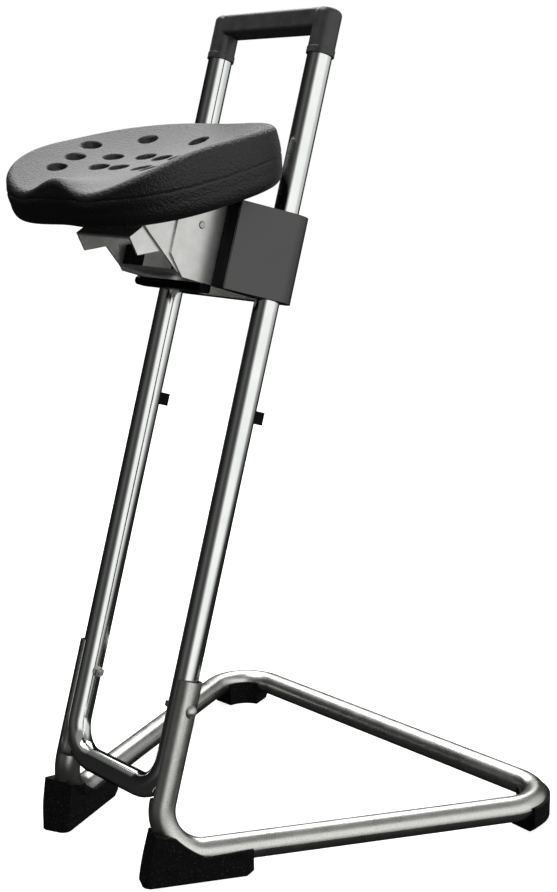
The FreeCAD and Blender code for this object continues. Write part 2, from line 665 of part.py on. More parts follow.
def make_guide_block():
    """Right guide block with its sliding bore."""
    body = new_body("guide_block_right")
    deep = "Sizes.sleeve_front + Sizes.sleeve_rear - Sizes.sleeve_wall - Sizes.block_gap"
    rear = "Sizes.sleeve_rear - Sizes.sleeve_wall - Sizes.block_gap"
    sketch = sketch_on(body, "XY_Plane", "Sizes.sleeve_bottom + 1")
    outline(sketch, [
        ("Sizes.block_inner", "-Sizes.sleeve_front"),
        (wing_inside("0", "0"), "-Sizes.sleeve_front"),
        (wing_inside(deep, "0"), rear),
        ("Sizes.block_inner", rear),
    ])
    pad(body, sketch, "Sizes.sleeve_height - 2")
    round_edges(body, upright_edge(number(rear), size("upright_half")),
                "Sizes.sleeve_round - Sizes.sleeve_wall - Sizes.block_gap")
    void = sketch_on(body, "XY_Plane", "Sizes.sleeve_bottom + 1 + Sizes.block_deck")
    void_deep = deep + " - Sizes.block_skin"
    outline(void, [
        ("Sizes.block_inner - 10", "Sizes.block_skin - Sizes.sleeve_front"),
        (wing_inside("Sizes.block_skin", "Sizes.block_skin"), "Sizes.block_skin - Sizes.sleeve_front"),
        (wing_inside(void_deep, "Sizes.block_skin + 9"), rear + " - Sizes.block_skin"),
        ("Sizes.block_inner - 10", rear + " - Sizes.block_skin"),
    ])
    circle(void, "Sizes.upright_half", "0", "Sizes.upright_od / 2 + Sizes.boss_wall")
    pocket(body, void, "Sizes.sleeve_height - 2 - 2 * Sizes.block_deck")
    bore = sketch_on(body, "XY_Plane", "Sizes.sleeve_bottom")
    circle(bore, "Sizes.upright_half", "0", "Sizes.upright_od / 2 + Sizes.slide_fit")
    pocket(body, bore, "Sizes.sleeve_height")
    return body


mirrored(make_guide_block(), "guide_block_left")

# Slope of the seat's underside seen in the lean frame, and the plane that the brackets hang from
seat_rise = math.tan(math.radians(size("seat_slope") + size("lean")))
SEAT_RISE = "tan((Sizes.seat_slope + Sizes.lean) * 1deg)"


def under_seat(front, below):
    """Station that lies below the seat plate's underside by a distance, at a reach ahead of the axes."""
    middle = "(Sizes.seat_z * cos(Sizes.lean * 1deg) + Sizes.seat_y * sin(Sizes.lean * 1deg))"
    centre_y = "(Sizes.seat_y * cos(Sizes.lean * 1deg) - Sizes.seat_z * sin(Sizes.lean * 1deg))"
    drop = "(Sizes.plate_thick + Sizes.plate_gap + %s) / cos((Sizes.seat_slope + Sizes.lean) * 1deg)" % below
    return "%s - (%s + %s) * %s - %s" % (middle, front, centre_y, SEAT_RISE, drop)


def make_carriage_bracket():
    """Outer bracket: a folded channel with its web on the sleeve's rear wall."""
    body = new_body("carriage_bracket")
    sketch = sketch_on(body, "YZ_Plane")
    rear = "Sizes.sleeve_rear - Sizes.sleeve_wall"
    outline(sketch, [
        (rear, "Sizes.bracket_bottom"),
        ("Sizes.bracket_bevel - Sizes.bracket_front", "Sizes.bracket_bottom"),
        ("-Sizes.bracket_front", "Sizes.bracket_bottom + Sizes.bracket_bevel"),
        ("-Sizes.bracket_front", under_seat("Sizes.bracket_front", "Sizes.bracket_clear")),
        ("-Sizes.sleeve_front - Sizes.bracket_shoulder", "Sizes.bracket_top"),
        (rear, "Sizes.bracket_top"),
    ])
    pad(body, sketch, "2 * Sizes.bracket_half", True)
    open_shell(body, "Sizes.bracket_sheet", lambda normal, centre: abs(normal.x) < 0.5 and normal.y < 0.9)
    pierce(body, "Sizes.pin_d / 2")
    return body


def pierce(body, radius):
    """Cut the tilt pin's hole through both sides of a bracket."""
    hole = sketch_on(body, "YZ_Plane")
    circle(hole, "-Sizes.pin_front", "Sizes.pin_station", radius)
    pocket(body, hole, "4 * Sizes.bracket_half", True)


SHOULDER = "(Sizes.sleeve_front + Sizes.bracket_shoulder)"


def make_support_bracket():
    """Support bracket: inside the outer one, with raked front edges and a web across the bottom."""
    body = new_body("support_bracket")
    sketch = sketch_on(body, "YZ_Plane")
    outline(sketch, [
        ("-Sizes.support_tail", "Sizes.support_bottom"),
        ("-Sizes.support_foot", "Sizes.support_bottom"),
        ("-Sizes.support_tip", under_seat("Sizes.support_tip", "Sizes.support_clear")),
        ("-Sizes.sleeve_front - Sizes.bracket_shoulder", under_seat(SHOULDER, "Sizes.support_clear")),
        ("-Sizes.support_tail", under_seat(SHOULDER, "Sizes.support_clear")),
    ])
    pad(body, sketch, "2 * (Sizes.bracket_half - Sizes.bracket_sheet)", True)
    open_shell(body, "Sizes.bracket_sheet", lambda normal, centre: abs(normal.x) < 0.5 and normal.z > -0.9)
    pierce(body, "Sizes.pin_d / 2")
    return body


NOSE_TOP_FRONT = "(Sizes.nose_reach - Sizes.nose_head)"
NOSE_BOTTOM_FRONT = "(Sizes.nose_reach - Sizes.nose_foot)"
NOSE_BOTTOM = "(Sizes.pin_station - Sizes.nose_drop)"
NOSE_TAIL = "(Sizes.pin_front - Sizes.nose_tail)"


def nose_bottom_at(front):
    """Station of the seat bracket's lower edge at a reach ahead of the axes."""
    return "%s + (%s - (%s)) * Sizes.nose_slope" % (NOSE_BOTTOM, NOSE_BOTTOM_FRONT, front)


def make_seat_bracket():
    """Seat bracket: a folded pan under the seat with a two-facet nose, hung on the tilt pin."""
    body = new_body("seat_bracket")
    sketch = sketch_on(body, "YZ_Plane")
    outline(sketch, [
        ("-%s" % NOSE_BOTTOM_FRONT, NOSE_BOTTOM),
        ("-Sizes.nose_reach", "%s + Sizes.nose_low" % NOSE_BOTTOM),
        ("-%s" % NOSE_TOP_FRONT, "%s + Sizes.nose_high" % NOSE_BOTTOM),
        ("-%s" % NOSE_TOP_FRONT, under_seat(NOSE_TOP_FRONT, "0")),
        ("-%s" % NOSE_TAIL, under_seat(NOSE_TAIL, "0")),
        ("-%s" % NOSE_TAIL, nose_bottom_at(NOSE_TAIL)),
    ])
    inner_half = "(Sizes.bracket_half - 2 * Sizes.bracket_sheet - Sizes.side_play)"
    pad(body, sketch, "2 * %s" % inner_half, True)
    nose_low = number(NOSE_BOTTOM)
    open_shell(body, "Sizes.bracket_sheet",
               lambda normal, centre: abs(normal.x) < 0.5 and (
                   normal.y > 0.99 or (normal.z < -0.5 and centre.z > nose_low + size("nose_low") / 2)))
    pierce(body, "Sizes.pin_d / 2 + Sizes.pin_fit")
    return body


make_carriage_bracket()
make_support_bracket()
seat_pan = make_seat_bracket()


def make_tilt_pin():
    """Hinge pin across the brackets, with slightly domed ends."""
    body = new_body("tilt_pin")
    sketch = sketch_on(body, "YZ_Plane")
    circle(sketch, "-Sizes.pin_front", "Sizes.pin_station", "Sizes.pin_d / 2")
    pad(body, sketch, "2 * (Sizes.bracket_half + 1)", True)
    item = body.newObject("PartDesign::Chamfer", "Chamfer")
    rims = [index for index, edge in enumerate(body.Shape.Edges, 1) if isinstance(edge.Curve, Part.Circle)]
    item.Base = (body.Group[-2], ["Edge%d" % index for index in rims])
    item.Size = 0.7
    doc.recompute()
    return body


make_tilt_pin()


def make_buffer():
    """Right tilt buffer: rubber block on the support web, its top following the seat bracket's edge."""
    body = new_body("tilt_buffer_right")
    inner = "(Sizes.bracket_half - 2 * Sizes.bracket_sheet - Sizes.plate_gap)"
    sketch = sketch_on(body, "YZ_Plane", inner + " - Sizes.buffer_width")
    front = "(Sizes.support_foot - 1)"
    back = "(Sizes.support_foot - 1 - Sizes.buffer_length)"
    floor = "Sizes.support_bottom + Sizes.bracket_sheet"
    outline(sketch, [
        ("-%s" % front, floor),
        ("-%s" % back, floor),
        ("-%s" % back, nose_bottom_at(back) + " - Sizes.buffer_gap"),
        ("-%s" % front, nose_bottom_at(front) + " - Sizes.buffer_gap"),
    ])
    pad(body, sketch, "Sizes.buffer_width")
    return body


mirrored(make_buffer(), "tilt_buffer_left")


def make_cover_bar():
    """Lower cover bar: a black bar with a round front edge under the outer bracket's sides."""
    body = new_body("cover_bar")
    sketch = sketch_on(body, "YZ_Plane")
    top = "Sizes.bracket_bottom"
    outline(sketch, [
        ("-Sizes.lip_front", top + " - Sizes.lip_height"),
        ("-Sizes.lip_rear", top + " - Sizes.lip_height"),
        ("-Sizes.lip_rear", top),
        ("-Sizes.lip_front", top),
    ])
    pad(body, sketch, "2 * Sizes.lip_half", True)
    upper = number(top)
    lower = upper - size("lip_height")
    front_edges = (cross_edge(-size("lip_front"), upper), cross_edge(-size("lip_front"), lower))
    round_edges(body, lambda start, end: any(test(start, end) for test in front_edges),
                "Sizes.lip_height * 0.48")
    return body


make_cover_bar()


# Seat plate and its screws, in the seat's own frame
def make_seat_plate():
    """Flat plate under the cushion."""
    body = new_body("seat_plate", SEAT_FRAME)
    sketch = sketch_on(body, "XY_Plane", "-Sizes.plate_thick - Sizes.plate_gap")
    outline(sketch, [
        ("-Sizes.plate_half", "-Sizes.plate_deep"),
        ("Sizes.plate_half", "-Sizes.plate_deep"),
        ("Sizes.plate_half", "Sizes.plate_deep"),
        ("-Sizes.plate_half", "Sizes.plate_deep"),
    ])
    pad(body, sketch, "Sizes.plate_thick")
    half = size("plate_half")
    round_edges(body, lambda start, end: abs(start.x - end.x) + abs(start.y - end.y) < 1e-6
                and abs(abs(start.x) - half) < 1e-4, "Sizes.plate_round")
    holes = sketch_on(body, "XY_Plane", "-Sizes.plate_thick - Sizes.plate_gap")
    for across in ("-Sizes.screw_x", "Sizes.screw_x"):
        for ahead in ("Sizes.screw_fore", "Sizes.screw_aft"):
            circle(holes, across, "%r - %s" % (pin_in_seat.y, ahead), "Sizes.screw_d / 2")
    pocket(body, holes, "Sizes.plate_thick")
    return body


pin_in_seat = SEAT_IN_LEAN.inverse().multVec(Vector(0, -size("pin_front"), size("pin_station")))


def make_seat_screws():
    """Four pan-head screws up through the seat bracket into the seat plate."""
    web_bottom = -size("plate_thick") - size("plate_gap") - size("bracket_sheet")
    head_height = size("screw_head") * 0.32
    screws = []
    shanks = []
    for across in (-size("screw_x"), size("screw_x")):
        for ahead in (size("screw_fore"), size("screw_aft")):
            place = Vector(across, pin_in_seat.y - ahead, web_bottom)
            shank = Part.makeCylinder(size("screw_d") / 2, size("bracket_sheet") + size("plate_thick"), place)
            shanks.append(shank)
            head = Part.makeCylinder(size("screw_head") / 2, head_height, place, Vector(0, 0, -1))
            low_rim = [edge for edge in head.Edges if abs(edge.CenterOfMass.z - place.z + head_height) < 1e-6]
            screws.append(head.makeChamfer(1.0, low_rim).fuse(shank))
    drills = doc.addObject("Part::Feature", "drills")
    drills.Shape = Part.makeCompound(shanks)
    drills.Placement = SEAT_FRAME
    pan = doc.addObject("Part::Cut", "drilled_pan")
    pan.Base = seat_pan
    pan.Tool = drills
    seat_pan.Label = "seat_pan"
    parts[parts.index(seat_pan)] = pan
    pan.Label = "seat_bracket"
    return feature("seat_screws", Part.makeCompound(screws), SEAT_FRAME)


make_seat_plate()
make_seat_screws()


# Cushion: integral foam shell with a dished top, a pommel in front and drawn-in underside
def rim_point(turn, inset):
    """Plan place on the cushion's outline at an angle, moved inward."""
    power = 2 / size("seat_corner")
    cosine = math.cos(turn)
    sine = math.sin(turn)
    across = math.copysign(abs(cosine) ** power, cosine)
    along = math.copysign(abs(sine) ** power, sine)
    x = (size("seat_half") - inset) * across * (1 - size("seat_taper") * along)
    y = (size("seat_deep") - inset) * along
    if along < 0:
        y += size("pommel_notch") * math.exp(-(x / size("pommel_half")) ** 2)
    return x, y


def dish_height(x, y):
    """Height of the cushion's top above its underside."""
    from_front = y + size("seat_deep")
    pommel = math.exp(-(x / size("pommel_half")) ** 2 - (from_front / size("pommel_deep")) ** 2)
    end_rise = size("rear_rise") if y > 0 else -size("front_fall")
    return (size("seat_thick") + size("side_rise") * (x / size("seat_half")) ** 2
            + end_rise * (y / size("seat_deep")) ** 2 + size("pommel_rise") * pommel)


RING_STEPS = 32


def level_ring(inset, height):
    """Smooth closed wire of the cushion's outline, moved inward, at a height."""
    points = []
    for step in range(RING_STEPS):
        x, y = rim_point(2 * math.pi * (step + 0.5) / RING_STEPS, inset)
        points.append(Vector(x, y, height))
    curve = Part.BSplineCurve()
    curve.interpolate(points, PeriodicFlag=True)
    return Part.Wire([curve.toShape()])


def above_dish(tall):
    """Solid that fills the space above the dished top."""
    reach_x = size("seat_half") * 1.25
    reach_y = size("seat_deep") * 1.22
    rows = []
    for column in range(17):
        x = reach_x * (column / 8 - 1)
        rows.append([Vector(x, y, dish_height(x, y)) for y in (reach_y * (line / 6 - 1) for line in range(13))])
    surface = Part.BSplineSurface()
    surface.interpolate(rows)
    return surface.toShape().extrude(Vector(0, 0, tall))


def make_cushion():
    """The foam seat with its vent recesses."""
    tall = size("seat_thick") + 2 * size("side_rise")
    rings = [
        level_ring(size("draw_in"), 0.0),
        level_ring(size("draw_in") * 0.28, size("draw_height")),
        level_ring(0.0, size("wall_height")),
        level_ring(0.0, size("seat_thick")),
        level_ring(0.0, size("seat_thick") + (tall - size("seat_thick")) / 2),
        level_ring(0.0, tall),
    ]
    shape = Part.makeLoft(rings, True, False).cut(above_dish(1.5 * tall))
    rim = [edge for edge in shape.Edges if edge.BoundBox.ZMin > size("seat_thick") / 2
           and edge.Length > size("seat_half")]
    shape = shape.makeFillet(size("rim_round"), rim)
    vents = []
    for row_of_vents in VENT_ROWS:
        for across, ahead in row_of_vents:
            for side in ([1] if across == 0 else [-1, 1]):
                x = side * across
                y = size("seat_deep") - ahead
                floor = dish_height(x, y) - size("vent_deep")
                vents.append(Part.makeCylinder(size("vent_d") / 2, 4 * size("vent_deep"), Vector(x, y, floor)))
    cushion = shape.cut(Part.makeCompound(vents))
    return feature("seat_cushion", cushion.Solids[0], SEAT_FRAME)


make_cushion()

# Check and write
doc.recompute()
for obj in doc.Objects:
    if "Invalid" in obj.State or "Error" in obj.State:
        raise RuntimeError("%s failed: %s" % (obj.Label, obj.State))
for obj in parts:
    if obj.Shape.isNull() or not obj.Shape.isValid():
        raise RuntimeError("%s has no valid shape" % obj.Label)

os.makedirs("parts", exist_ok=True)
for obj in parts:
    obj.Shape.exportStep("parts/%s.step" % obj.Label)
    print("%-20s %2d solids %9.0f mm3" % (obj.Label, len(obj.Shape.Solids), obj.Shape.Volume))
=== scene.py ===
"""Looks of the perch stool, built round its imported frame.

Lengths are in metres, +Z is up and the sitter faces -Y.
"""
import json
import math

import bmesh
import bpy
import numpy as np
from mathutils import Matrix, Vector


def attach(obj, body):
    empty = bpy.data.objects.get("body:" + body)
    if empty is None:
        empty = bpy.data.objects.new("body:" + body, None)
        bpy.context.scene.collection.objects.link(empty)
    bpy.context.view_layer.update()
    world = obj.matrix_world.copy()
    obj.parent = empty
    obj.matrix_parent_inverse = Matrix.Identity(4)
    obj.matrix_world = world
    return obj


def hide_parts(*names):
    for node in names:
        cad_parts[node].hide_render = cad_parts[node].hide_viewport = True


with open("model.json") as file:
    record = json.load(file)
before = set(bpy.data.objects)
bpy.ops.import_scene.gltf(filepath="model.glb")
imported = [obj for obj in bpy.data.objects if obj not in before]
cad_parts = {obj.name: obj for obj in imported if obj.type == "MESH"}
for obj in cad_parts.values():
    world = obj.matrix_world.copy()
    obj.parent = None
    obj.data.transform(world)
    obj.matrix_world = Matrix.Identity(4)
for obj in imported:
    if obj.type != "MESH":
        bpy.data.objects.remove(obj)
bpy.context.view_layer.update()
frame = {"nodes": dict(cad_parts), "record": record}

scene = bpy.context.scene
collection = scene.collection

# Camera: found from the photograph's vanishing points, with the stool's own sizes
CAMERA_PLACE = Vector((1.3485, -1.1526, 0.8024))
CAMERA_TURN = math.radians(48.178)
CAMERA_DIP = math.radians(11.397)
CAMERA_LENS = 62.24


def make_camera():
    """The photograph's view: 557 by 892 pixels, the long side on a 36 mm sensor."""
    data = bpy.data.cameras.new("camera")
    data.lens = CAMERA_LENS
    data.sensor_width = 36.0
    camera = bpy.data.objects.new("camera", data)
    ahead = Vector((
        -math.sin(CAMERA_TURN) * math.cos(CAMERA_DIP),
        math.cos(CAMERA_TURN) * math.cos(CAMERA_DIP),
        -math.sin(CAMERA_DIP),
    ))
    camera.location = CAMERA_PLACE
    camera.rotation_euler = ahead.to_track_quat("-Z", "Y").to_euler()
    collection.objects.link(camera)
    scene.camera = camera


make_camera()

# Lean of the uprights, and the place where their axes meet the floor
LEAN = math.radians(16.36)
FOOT_Y = -0.222


class Finish:
    """One procedural material: a Principled shader and short calls for the nodes that feed it."""

    def __init__(self, name, turn=(0.0, 0.0, 0.0), stretch=(1.0, 1.0, 1.0), **shader):
        self.material = bpy.data.materials.new(name)
        self.material.use_nodes = True
        self.tree = self.material.node_tree
        self.shader = self.tree.nodes["Principled BSDF"]
        for socket, value in shader.items():
            self.shader.inputs[socket.replace("_", " ")].default_value = value
        place = self.tree.nodes.new("ShaderNodeTexCoord").outputs["Object"]
        mapping = self.tree.nodes.new("ShaderNodeMapping")
        mapping.vector_type = "TEXTURE"
        mapping.inputs["Rotation"].default_value = turn
        mapping.inputs["Scale"].default_value = stretch
        self.tree.links.new(place, mapping.inputs["Vector"])
        self.place = mapping.outputs["Vector"]
        self.plain_place = place
        self.edge = None

    def link(self, output, socket):
        """Feed a shader socket."""
        self.tree.links.new(output, self.shader.inputs[socket])

    def noise(self, scale, detail=3.0, rough=0.55, plain=False):
        """Noise at so many waves per metre."""
        node = self.tree.nodes.new("ShaderNodeTexNoise")
        node.inputs["Scale"].default_value = scale
        node.inputs["Detail"].default_value = detail
        node.inputs["Roughness"].default_value = rough
        self.tree.links.new(self.plain_place if plain else self.place, node.inputs["Vector"])
        return node.outputs["Fac"]

    def cells(self, scale, feature="F1", smooth=0.0, output="Distance"):
        """Voronoi cells at so many per metre."""
        node = self.tree.nodes.new("ShaderNodeTexVoronoi")
        node.feature = feature
        node.inputs["Scale"].default_value = scale
        if feature == "SMOOTH_F1":
            node.inputs["Smoothness"].default_value = smooth
        self.tree.links.new(self.place, node.inputs["Vector"])
        return node.outputs[output]

    def ramp(self, value, *stops):
        """Colour ramp; each stop is a position and a grey or a colour."""
        node = self.tree.nodes.new("ShaderNodeValToRGB")
        points = node.color_ramp.elements
        while len(points) < len(stops):
            points.new(0.5)
        for point, (position, shade) in zip(points, stops):
            point.position = position
            point.color = (shade, shade, shade, 1.0) if isinstance(shade, float) else (*shade, 1.0)
        self.tree.links.new(value, node.inputs["Fac"])
        return node.outputs["Color"]

    def mix(self, share, first, second, blend="MIX"):
        """Blend two colours."""
        node = self.tree.nodes.new("ShaderNodeMix")
        node.data_type = "RGBA"
        node.blend_type = blend
        for socket, value in ((0, share), (6, first), (7, second)):
            if isinstance(value, (float, tuple)):
                node.inputs[socket].default_value = value
            else:
                self.tree.links.new(value, node.inputs[socket])
        return node.outputs[2]

    def bump(self, *layers):
        """Stack of bumps; each layer is a height, a strength and a depth in metres."""
        last = self.edge
        for height, strength, depth in layers:
            node = self.tree.nodes.new("ShaderNodeBump")
            node.inputs["Strength"].default_value = strength
            node.inputs["Distance"].default_value = depth
            self.tree.links.new(height, node.inputs["Height"])
            if last is not None:
                self.tree.links.new(last, node.inputs["Normal"])
            last = node.outputs["Normal"]
        self.link(last, "Normal")

    def rounded(self, radius):
        """Normals that look as if every hard edge had a small radius; feeds the first bump."""
        node = self.tree.nodes.new("ShaderNodeBevel")
        node.samples = 6
        node.inputs["Radius"].default_value = radius
        self.edge = node.outputs["Normal"]


def chrome_finish():
    """Bright plating with drawing lines along the uprights and a faint haze."""
    made = Finish("upright_chrome", turn=(-LEAN, 0, 0), stretch=(1, 1, 60), Metallic=1.0,
                  Specular_Tint=(0.10, 0.11, 0.11, 1))
    lines = made.noise(900.0, detail=2.0)
    haze = made.noise(30.0, detail=4.0, plain=True)
    made.link(made.ramp(haze, (0.3, (0.74, 0.76, 0.74)), (0.75, (0.84, 0.85, 0.83))), "Base Color")
    made.link(made.ramp(lines, (0.3, 0.07), (0.75, 0.15)), "Roughness")
    made.bump((lines, 0.08, 0.0001))
    return made.material


def base_finish():
    """Duller plating of the base with speckle, clouds and a fine grain."""
    made = Finish("base_steel", Metallic=1.0, Specular_Tint=(0.12, 0.12, 0.12, 1))
    speckle = made.noise(900.0, detail=3.0, rough=0.7)
    cloud = made.noise(45.0, detail=4.0)
    tone = made.ramp(speckle, (0.30, (0.48, 0.48, 0.46)), (0.70, (0.82, 0.82, 0.79)))
    made.link(made.mix(0.35, tone, made.ramp(cloud, (0.3, 0.38), (0.8, 0.62)), "OVERLAY"), "Base Color")
    made.link(made.ramp(cloud, (0.3, 0.25), (0.7, 0.35)), "Roughness")
    made.bump((speckle, 0.30, 0.00018))
    return made.material


def zinc_finish(name, low, high, roughness):
    """Satin zinc on sheet and fasteners, with spangle and small stains."""
    made = Finish(name, Metallic=0.85, Roughness=roughness)
    made.rounded(0.0007)
    spangle = made.cells(260.0, output="Color")
    stain = made.noise(70.0, detail=5.0)
    tone = made.ramp(stain, (0.3, low), (0.72, high))
    made.link(made.mix(0.08, tone, spangle, "OVERLAY"), "Base Color")
    made.bump((made.noise(1400.0), 0.18, 0.00008), (stain, 0.1, 0.0004))
    return made.material


def paint_finish():
    """Warm dark grey paint of the sleeve with a fine orange peel."""
    made = Finish("sleeve_grey", Roughness=0.36, Specular_IOR_Level=1.0)
    made.rounded(0.0008)
    cloud = made.noise(18.0, detail=3.0)
    made.link(made.ramp(cloud, (0.3, (0.024, 0.020, 0.021)), (0.75, (0.034, 0.029, 0.030))), "Base Color")
    made.bump((made.noise(900.0, detail=2.0), 0.25, 0.0001))
    return made.material


def plastic_finish(name, shade, roughness, grain, shine=0.5):
    """Black moulded plastic with a spark-eroded grain."""
    made = Finish(name, Specular_IOR_Level=shine)
    made.rounded(0.0009)
    cloud = made.noise(60.0, detail=4.0)
    made.link(made.ramp(cloud, (0.3, (shade * 0.8,) * 3), (0.75, (shade * 1.3,) * 3)), "Base Color")
    made.link(made.ramp(cloud, (0.3, roughness - 0.06), (0.7, roughness + 0.06)), "Roughness")
    made.bump((made.noise(1700.0, detail=2.0), grain, 0.0001))
    return made.material


def rubber_finish():
    """Matt rubber with dust specks and scuffs."""
    made = Finish("foot_rubber", Roughness=0.72, Specular_IOR_Level=0.16)
    made.rounded(0.0012)
    specks = made.noise(520.0, detail=3.0)
    scuffs = made.noise(90.0, detail=5.0)
    tone = made.ramp(scuffs, (0.35, 0.002), (0.8, 0.006))
    dust = made.ramp(specks, (0.62, 0.0), (0.72, 0.55))
    made.link(made.mix(dust, tone, (0.14, 0.14, 0.13, 1.0)), "Base Color")
    made.bump((specks, 0.4, 0.0004), (scuffs, 0.2, 0.0008))
    return made.material


def foam_finish():
    """Integral skin with a leather grain: pebbles split by creases, over a finer pore noise."""
    made = Finish("seat_foam", Specular_IOR_Level=0.6)
    pebbles = made.cells(430.0, "SMOOTH_F1", 0.5)
    creases = made.noise(260.0, detail=5.0, rough=0.7)
    pores = made.noise(2200.0, detail=2.0)
    cloud = made.noise(16.0, detail=4.0)
    tone = made.ramp(cloud, (0.3, (0.0045, 0.0048, 0.0042)), (0.75, (0.0085, 0.0089, 0.0080)))
    worn = made.ramp(creases, (0.35, 0.42), (0.7, 0.58))
    made.link(made.mix(0.5, tone, worn, "OVERLAY"), "Base Color")
    made.link(made.ramp(pores, (0.3, 0.42), (0.7, 0.55)), "Roughness")
    made.bump((creases, 0.45, 0.0010), (pebbles, 0.85, 0.0007), (pores, 0.25, 0.0001))
    return made.material


FINISHES = {
    "upright_chrome": chrome_finish(),
    "base_steel": base_finish(),
    "bracket_steel": zinc_finish("bracket_steel", (0.82, 0.82, 0.80), (0.96, 0.96, 0.94), 0.36),
    "fastener_zinc": zinc_finish("fastener_zinc", (0.5, 0.5, 0.49), (0.68, 0.68, 0.66), 0.3),
    "plate_steel": plastic_finish("plate_steel", 0.02, 0.5, 0.2),
    "sleeve_grey": paint_finish(),
    "black_plastic": plastic_finish("black_plastic", 0.0015, 0.5, 0.3, 0.1),
    "handle_plastic": plastic_finish("handle_plastic", 0.055, 0.34, 0.12),
    "foot_rubber": rubber_finish(),
    "seat_foam": foam_finish(),
}


def dress_frame():
    """Give each CAD node its finish and smooth shading."""
    slots = {row["node"]: row["material_slot"] for row in frame["record"]["subparts"]}
    for node, shown in frame["nodes"].items():
        shown.data.materials.clear()
        shown.data.materials.append(FINISHES[slots[node]])
        shown.data.shade_smooth()


dress_frame()

# Seat frame: the middle of the cushion's underside, tilted forward about X
SEAT_MIDDLE = Vector((0.0, FOOT_Y + 0.092, 0.7345))
SEAT_SLOPE = math.radians(12.0)

# Seat form: plan, heights of the dished top, pommel, edges, parting seam and vents
SEAT_HALF = 0.1470
SEAT_DEEP = 0.1283
SEAT_TAPER = 0.078
SEAT_CORNER = 2.72
SEAT_THICK = 0.0390
SIDE_RISE = 0.0280
REAR_RISE = 0.0204
CORNER_FALL = 0.0080
FRONT_FALL = 0.0095
POMMEL_RISE = 0.0214
POMMEL_HALF = 0.0365
POMMEL_DEEP = 0.042
POMMEL_NOTCH = 0.0068
DRAW_IN = 0.009
RIM_ROUND = 0.009
WALL_TURN = 0.018
SEAM_HEIGHT = 0.030
VENT_DEEP = 0.009
VENT_RADIUS = 0.0096
VENT_LIP = 0.0022
VENT_SLOPE = 1.6 * VENT_LIP
WALL_SWELL = 0.0012
SEAM_DEEP = 0.0007
SEAM_HALF = 0.0011

# Vents of the right half: distance from the middle, distance ahead of the rear rim
VENTS = [
    (0.0, 0.051), (0.074, 0.064), (0.112, 0.115),
    (0.0, 0.105), (0.028, 0.105), (0.063, 0.123), (0.095, 0.151),
    (0.020, 0.149), (0.045, 0.157), (0.085, 0.184),
]
GRID_STEPS = 220
ROUND_STEPS = 10
WALL_STEPS = 30
LOW_STEPS = 12


def rim_plan(turn, inset):
    """Plan place on the outline at an angle, moved inward."""
    power = 2 / SEAT_CORNER
    across = np.sign(np.cos(turn)) * np.abs(np.cos(turn)) ** power
    along = np.sign(np.sin(turn)) * np.abs(np.sin(turn)) ** power
    x = (SEAT_HALF - inset) * across * (1 - SEAT_TAPER * along)
    y = (SEAT_DEEP - inset) * along
    notch = POMMEL_NOTCH * np.exp(-(x / POMMEL_HALF) ** 2)
    return x, y + np.where(along < 0, notch, 0.0)


def dish_height(x, y):
    """Height of the dished top above the underside."""
    u = x / SEAT_HALF
    v = y / SEAT_DEEP
    ends = np.where(v > 0, REAR_RISE * v ** 2 - CORNER_FALL * (u * v) ** 2, -FRONT_FALL * v ** 2)
    pommel = np.exp(-(x / POMMEL_HALF) ** 2 - ((y + SEAT_DEEP) / POMMEL_DEEP) ** 2)
    return SEAT_THICK + SIDE_RISE * u ** 2 + ends + POMMEL_RISE * pommel


def vent_depth(x, y):
    """Depth of the vent recesses below the dish, with a rounded lip."""
    depth = np.zeros_like(x)
    for across, ahead in VENTS:
        for side in ((1,) if across == 0 else (-1, 1)):
            reach = np.hypot(x - side * across, y - (SEAT_DEEP - ahead))
            wall = np.clip((VENT_RADIUS + VENT_LIP - reach) / VENT_SLOPE, 0, 1)
            depth = np.maximum(depth, VENT_DEEP * wall ** 2 * (3 - 2 * wall))
    return depth


